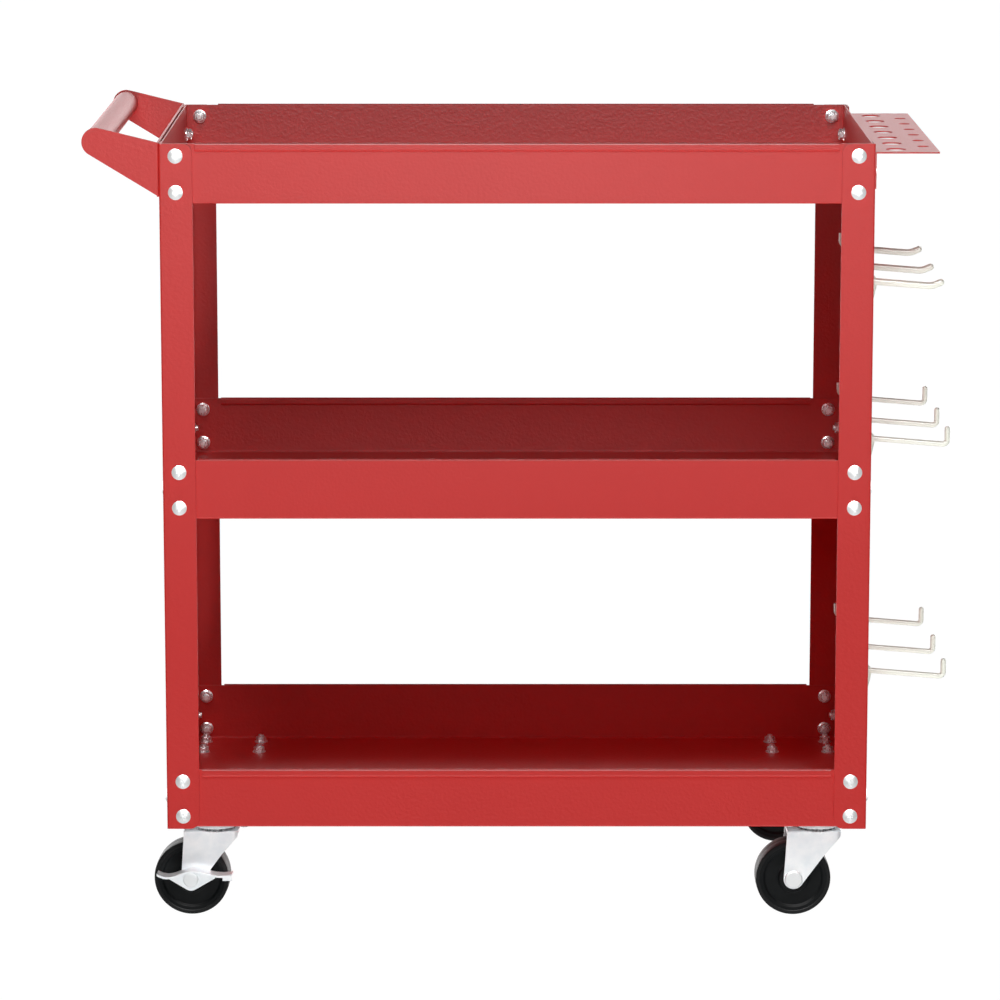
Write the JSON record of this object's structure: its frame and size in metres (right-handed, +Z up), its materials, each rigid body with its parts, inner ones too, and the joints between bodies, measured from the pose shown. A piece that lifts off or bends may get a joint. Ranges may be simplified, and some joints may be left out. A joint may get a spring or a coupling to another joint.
{
  "type": "rolling tool cart",
  "caption": "Open tool cart with pressed trays on angle posts, swivel casters, push handle, screwdriver rack and pegboard side with hooks.",
  "frame": {"origin": "on the floor under the middle of the whole cart, handle and hooks included", "axes": "+X from the handle end to the pegboard end, +Y to the rear, +Z up"},
  "size_m": [0.8586, 0.391, 0.8018],
  "materials": {
    "red_powder_coat": "fine textured powder coat, semi-gloss",
    "ivory_coating": "smooth dip coating",
    "zinc_fastener": "bright zinc plate",
    "zinc_plate": "zinc plate with a faint spangle",
    "steel_pin": "turned steel",
    "wheel_plastic": "moulded, satin",
    "wheel_rubber": "hard rubber, satin"
  },
  "bodies": {
    "cart": {"caster_bolts": "zinc_fastener", "caster_nuts": "zinc_fastener", "caster_plate_front_left": "zinc_plate", "caster_plate_front_right": "zinc_plate", "caster_plate_rear_left": "zinc_plate", "caster_plate_rear_right": "zinc_plate", "handle_bracket": "red_powder_coat", "handle_tube": "red_powder_coat", "hook_curved_front": "ivory_coating", "hook_curved_mid": "ivory_coating", "hook_curved_rear": "ivory_coating", "hook_lower_front": "ivory_coating", "hook_lower_mid": "ivory_coating", "hook_lower_rear": "ivory_coating", "hook_upper_front": "ivory_coating", "hook_upper_mid": "ivory_coating", "hook_upper_rear": "ivory_coating", "kingpin_front_left": "steel_pin", "kingpin_front_right": "steel_pin", "kingpin_rear_left": "steel_pin", "kingpin_rear_right": "steel_pin", "pegboard": "red_powder_coat", "post_front_left": "red_powder_coat", "post_front_right": "red_powder_coat", "post_rear_left": "red_powder_coat", "post_rear_right": "red_powder_coat", "screwdriver_rack": "red_powder_coat", "side_bolts": "zinc_fastener", "tray_bolts": "zinc_fastener", "tray_bottom": "red_powder_coat", "tray_middle": "red_powder_coat", "tray_nuts": "zinc_fastener", "tray_top": "red_powder_coat"},
    "swivel_front_left": {"axle_front_left": "steel_pin", "fork_front_left": "zinc_plate", "sleeve_front_left": "steel_pin", "swivel_balls_front_left": "steel_pin"},
    "swivel_front_right": {"axle_front_right": "steel_pin", "fork_front_right": "zinc_plate", "sleeve_front_right": "steel_pin", "swivel_balls_front_right": "steel_pin"},
    "swivel_rear_left": {"axle_rear_left": "steel_pin", "fork_rear_left": "zinc_plate", "sleeve_rear_left": "steel_pin", "swivel_balls_rear_left": "steel_pin"},
    "swivel_rear_right": {"axle_rear_right": "steel_pin", "fork_rear_right": "zinc_plate", "sleeve_rear_right": "steel_pin", "swivel_balls_rear_right": "steel_pin"},
    "brake_front_left": {"brake_lever_front_left": "zinc_plate"},
    "brake_rear_left": {"brake_lever_rear_left": "zinc_plate"},
    "wheel_front_left": {"tyre_front_left": "wheel_rubber", "wheel_core_front_left": "wheel_plastic"},
    "wheel_front_right": {"tyre_front_right": "wheel_rubber", "wheel_core_front_right": "wheel_plastic"},
    "wheel_rear_left": {"tyre_rear_left": "wheel_rubber", "wheel_core_rear_left": "wheel_plastic"},
    "wheel_rear_right": {"tyre_rear_right": "wheel_rubber", "wheel_core_rear_right": "wheel_plastic"}
  },
  "joints": [
    {"name": "swivel_front_left", "type": "hinge", "parent": "cart", "child": "swivel_front_left", "pos_m": [-0.30815, -0.1465, 0.0896], "axis": [0, 0, 1], "continuous": true},
    {"name": "roll_front_left", "type": "hinge", "parent": "swivel_front_left", "child": "wheel_front_left", "pos_m": [-0.33233, -0.14544, 0.038], "axis": [0.0436, 0.999, 0], "continuous": true},
    {"name": "brake_front_left", "type": "hinge", "parent": "swivel_front_left", "child": "brake_front_left", "pos_m": [-0.33233, -0.14544, 0.038], "axis": [-0.0436, -0.999, 0], "range_deg": [0, 18]},
    {"name": "swivel_front_right", "type": "hinge", "parent": "cart", "child": "swivel_front_right", "pos_m": [0.29945, -0.1465, 0.0896], "axis": [0, 0, 1], "continuous": true},
    {"name": "roll_front_right", "type": "hinge", "parent": "swivel_front_right", "child": "wheel_front_right", "pos_m": [0.27525, -0.14684, 0.038], "axis": [-0.014, 0.9999, 0], "continuous": true},
    {"name": "swivel_rear_left", "type": "hinge", "parent": "cart", "child": "swivel_rear_left", "pos_m": [-0.30815, 0.1465, 0.0896], "axis": [0, 0, 1], "continuous": true},
    {"name": "roll_rear_left", "type": "hinge", "parent": "swivel_rear_left", "child": "wheel_rear_left", "pos_m": [-0.33232, 0.14523, 0.038], "axis": [-0.0523, 0.9986, 0], "continuous": true},
    {"name": "brake_rear_left", "type": "hinge", "parent": "swivel_rear_left", "child": "brake_rear_left", "pos_m": [-0.33232, 0.14523, 0.038], "axis": [0.0523, -0.9986, 0], "range_deg": [0, 18]},
    {"name": "swivel_rear_right", "type": "hinge", "parent": "cart", "child": "swivel_rear_right", "pos_m": [0.29945, 0.1465, 0.0896], "axis": [0, 0, 1], "continuous": true},
    {"name": "roll_rear_right", "type": "hinge", "parent": "swivel_rear_right", "child": "wheel_rear_right", "pos_m": [0.27534, 0.14439, 0.038], "axis": [-0.0872, 0.9962, 0], "continuous": true}
  ]
}
